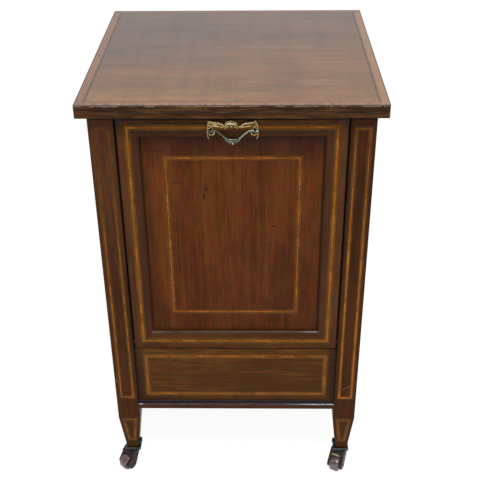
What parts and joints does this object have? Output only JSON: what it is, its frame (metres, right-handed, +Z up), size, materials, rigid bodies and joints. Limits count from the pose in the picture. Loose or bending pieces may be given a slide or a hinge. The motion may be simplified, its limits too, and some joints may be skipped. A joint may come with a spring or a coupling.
{
  "type": "coal scuttle",
  "caption": "Fall-front coal cabinet: square inlaid wooden box with a flat top, a hinged front that carries a metal liner, and tapered legs on swivel casters.",
  "frame": {"origin": "on the floor, under the centre of the top board", "axes": "+Z up, the fall front faces -Y, +X to the right of someone facing it"},
  "size_m": [0.4, 0.392, 0.652],
  "materials": {
    "mahogany": "aged polished mahogany",
    "mahogany_dark": "aged polished mahogany, darker",
    "mahogany_red": "aged polished mahogany, redder",
    "satinwood": "polished satinwood inlay",
    "boxwood": "polished boxwood string",
    "ebony": "ebonised string",
    "pine": "plain unpolished softwood",
    "brass": "cast brass with dark patina",
    "bronze": "cast brass, almost black with patina",
    "japanned": "black japanned sheet iron",
    "iron": "wrought iron, painted black",
    "glazed": "brown glazed pottery"
  },
  "bodies": {
    "cabinet": {"top_board": "mahogany", "top_banding": "satinwood", "top_stringing": "ebony", "front_left_leg": "mahogany_dark", "front_right_leg": "mahogany_dark", "rear_left_leg": "mahogany_dark", "rear_right_leg": "mahogany_dark", "leg_banding": "satinwood", "leg_stringing": "boxwood", "foot_inlay": "satinwood", "left_side_panel": "mahogany", "right_side_panel": "mahogany", "back_panel": "mahogany_dark", "bottom_board": "pine", "apron_panel": "mahogany", "apron_banding": "satinwood", "apron_stringing": "boxwood", "base_moulding": "mahogany", "door_stop_rail": "pine", "side_rails": "pine", "back_rails": "pine", "corner_blocks": "pine", "pivot_bushes": "brass", "stay_keepers": "brass", "keeper_screws": "brass", "caster_plates": "bronze", "caster_screws": "bronze", "caster_kingpins": "bronze"},
    "fall_front": {"door_left_stile": "mahogany_dark", "door_right_stile": "mahogany_dark", "door_top_rail": "mahogany_dark", "door_bottom_rail": "mahogany_dark", "door_panel": "mahogany_red", "panel_bead": "mahogany_dark", "door_banding": "satinwood", "door_stringing": "boxwood", "panel_banding": "satinwood", "panel_stringing": "boxwood", "pivot_pins": "brass", "door_stays": "brass", "door_screws": "brass", "hanger_bar": "iron", "liner_rest_batten": "pine", "coal_liner": "japanned", "liner_hooks": "japanned", "liner_rivets": "iron", "liner_handle_lugs": "iron", "handle_backplate": "brass", "handle_posts": "brass"},
    "bail": {"handle_bail": "brass"},
    "liner_pull": {"liner_handle": "iron"},
    "front_left_swivel": {"front_left_horn": "bronze"},
    "front_left_roller": {"front_left_wheel": "glazed"},
    "front_right_swivel": {"front_right_horn": "bronze"},
    "front_right_roller": {"front_right_wheel": "glazed"},
    "rear_left_swivel": {"rear_left_horn": "bronze"},
    "rear_left_roller": {"rear_left_wheel": "glazed"},
    "rear_right_swivel": {"rear_right_horn": "bronze"},
    "rear_right_roller": {"rear_right_wheel": "glazed"}
  },
  "joints": [
    {"name": "fall_front_hinge", "type": "hinge", "parent": "cabinet", "child": "fall_front", "pos_m": [0, -0.171, 0.2575], "axis": [1, 0, 0], "range_deg": [0, 40]},
    {"name": "bail_hinge", "type": "hinge", "parent": "fall_front", "child": "bail", "pos_m": [0.0008, -0.1835, 0.611], "axis": [-1, 0, 0], "range_deg": [0, 110]},
    {"name": "liner_handle_hinge", "type": "hinge", "parent": "fall_front", "child": "liner_pull", "pos_m": [0, 0.135, 0.42745], "axis": [1, 0, 0], "range_deg": [0, 110]},
    {"name": "front_left_swivel_spin", "type": "hinge", "parent": "cabinet", "child": "front_left_swivel", "pos_m": [-0.17, -0.166, 0.035], "axis": [0, 0, 1], "continuous": true},
    {"name": "front_left_roller_spin", "type": "hinge", "parent": "front_left_swivel", "child": "front_left_roller", "pos_m": [-0.18061, -0.17864, 0.013], "axis": [0.766, -0.6428, 0], "continuous": true},
    {"name": "front_right_swivel_spin", "type": "hinge", "parent": "cabinet", "child": "front_right_swivel", "pos_m": [0.17, -0.166, 0.035], "axis": [0, 0, 1], "continuous": true},
    {"name": "front_right_roller_spin", "type": "hinge", "parent": "front_right_swivel", "child": "front_right_roller", "pos_m": [0.16277, -0.18083, 0.013], "axis": [0.8988, -0.4384, 0], "continuous": true},
    {"name": "rear_left_swivel_spin", "type": "hinge", "parent": "cabinet", "child": "rear_left_swivel", "pos_m": [-0.17, 0.166, 0.035], "axis": [0, 0, 1], "continuous": true},
    {"name": "rear_left_roller_spin", "type": "hinge", "parent": "rear_left_swivel", "child": "rear_left_roller", "pos_m": [-0.18352, 0.15654, 0.013], "axis": [0.5736, -0.8192, 0], "continuous": true},
    {"name": "rear_right_swivel_spin", "type": "hinge", "parent": "cabinet", "child": "rear_right_swivel", "pos_m": [0.17, 0.166, 0.035], "axis": [0, 0, 1], "continuous": true},
    {"name": "rear_right_roller_spin", "type": "hinge", "parent": "rear_right_swivel", "child": "rear_right_roller", "pos_m": [0.1649, 0.15031, 0.013], "axis": [0.9511, -0.309, 0], "continuous": true}
  ]
}
